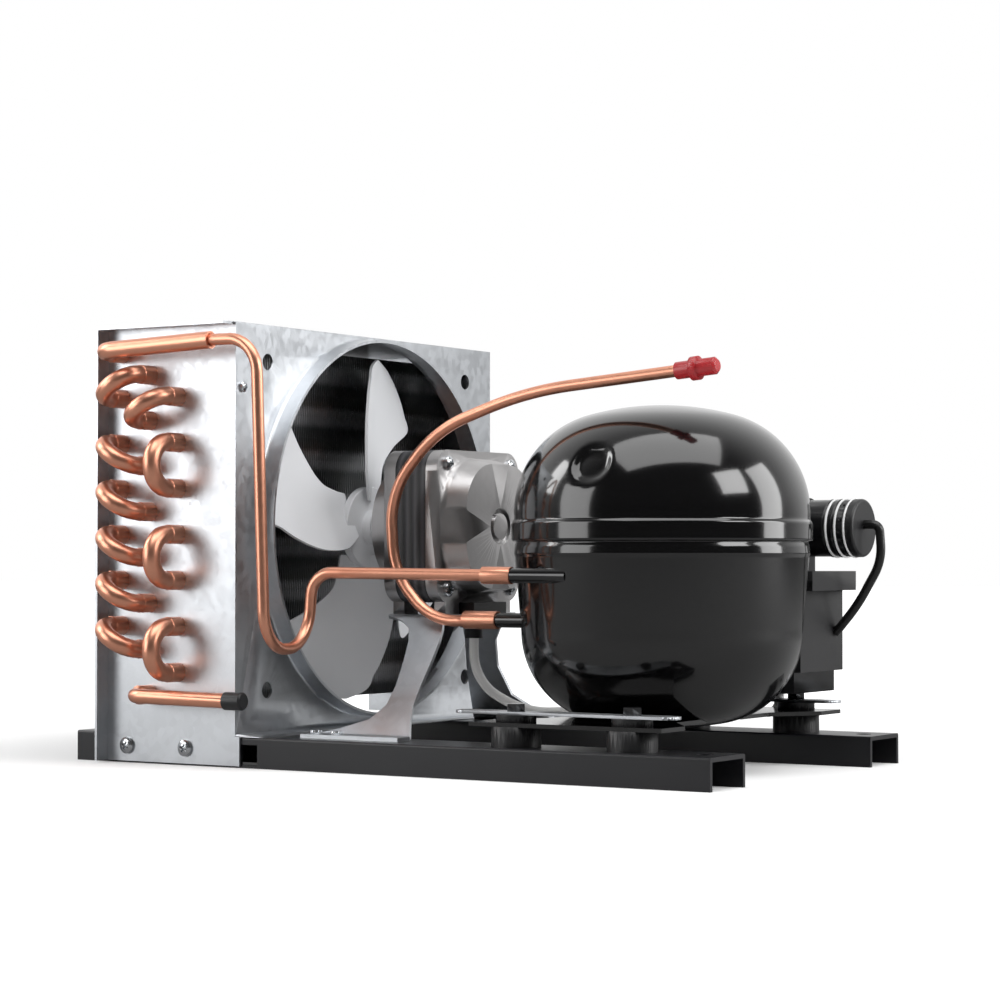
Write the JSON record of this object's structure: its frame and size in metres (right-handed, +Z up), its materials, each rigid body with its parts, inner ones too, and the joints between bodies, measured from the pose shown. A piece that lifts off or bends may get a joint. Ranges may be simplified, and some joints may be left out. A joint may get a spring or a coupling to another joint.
{
  "type": "refrigeration condensing unit",
  "caption": "Air-cooled condensing unit: tube-and-fin condenser with a ducted axial fan and a hermetic compressor with copper pipework, on two channel rails.",
  "frame": {"origin": "centre of the unit's footprint on the floor", "axes": "+X along the rails from the condenser to the compressor, +Z up, the header pipes are on the -Y side"},
  "size_m": [0.405, 0.3143, 0.2437],
  "materials": {
    "rail_black": "satin black powder coat",
    "fin_aluminium": "thin rolled sheet",
    "copper": "drawn copper, satin",
    "zinc": "galvanised sheet",
    "black_plastic": "moulded, fine matt",
    "screw_steel": "bright zinc plate",
    "blade_paint": "light grey paint",
    "cast_aluminium": "die cast, satin",
    "lamination": "stacked sheet, varnished black",
    "winding": "enamelled wire",
    "bronze": "sintered",
    "white_sleeve": "woven sleeve",
    "shell_black": "gloss black",
    "rubber": "moulded",
    "red_plastic": "moulded plug",
    "capacitor_black": "smooth can",
    "black_lead": "insulated lead",
    "iron": "machined"
  },
  "bodies": {
    "unit": {"bracket_rivets": "screw_steel", "cable_gland": "black_plastic", "capacitor_cap": "black_plastic", "capacitor_lead": "black_lead", "capacitor_strap": "rail_black", "compressor_rotor": "lamination", "compressor_stator": "lamination", "compressor_windings": "winding", "condenser_tubes": "copper", "connecting_rod": "cast_aluminium", "crankshaft": "iron", "cylinder_block": "iron", "cylinder_head": "iron", "discharge_muffler": "iron", "discharge_pipe": "copper", "discharge_stub": "shell_black", "end_plate_screws": "screw_steel", "far_end_plate": "zinc", "far_return_bends": "copper", "fin_pack": "fin_aluminium", "front_bush": "bronze", "front_foot_plate": "shell_black", "front_rail": "rail_black", "grommet_bolts": "screw_steel", "grommets": "rubber", "hold_down_straps": "zinc", "inlet_tube": "copper", "motor_bracket": "zinc", "motor_front_frame": "cast_aluminium", "motor_lead": "white_sleeve", "motor_rear_cover": "cast_aluminium", "motor_screws": "screw_steel", "motor_terminal_box": "black_plastic", "near_end_plate": "zinc", "near_return_bends": "copper", "outlet_cap": "black_plastic", "outlet_tube": "copper", "piston": "iron", "rear_bush": "bronze", "rear_foot_plate": "shell_black", "rear_rail": "rail_black", "relay_box_base": "black_plastic", "relay_box_cover": "black_plastic", "shell_lower": "shell_black", "shell_upper": "shell_black", "shroud": "zinc", "shroud_screws": "screw_steel", "start_capacitor": "capacitor_black", "stator_core": "lamination", "stator_winding": "winding", "suction_pipe": "copper", "suction_plug": "red_plastic", "suction_stub": "shell_black", "suspension_springs": "screw_steel", "top_cover": "zinc"},
    "fan": {"fan_blade": "blade_paint", "fan_nut": "screw_steel", "motor_shaft": "screw_steel", "motor_rotor": "lamination"}
  },
  "joints": [
    {"name": "fan_spin", "type": "hinge", "parent": "unit", "child": "fan", "pos_m": [-0.086, 0, 0.1322], "axis": [1, 0, 0], "continuous": true}
  ]
}
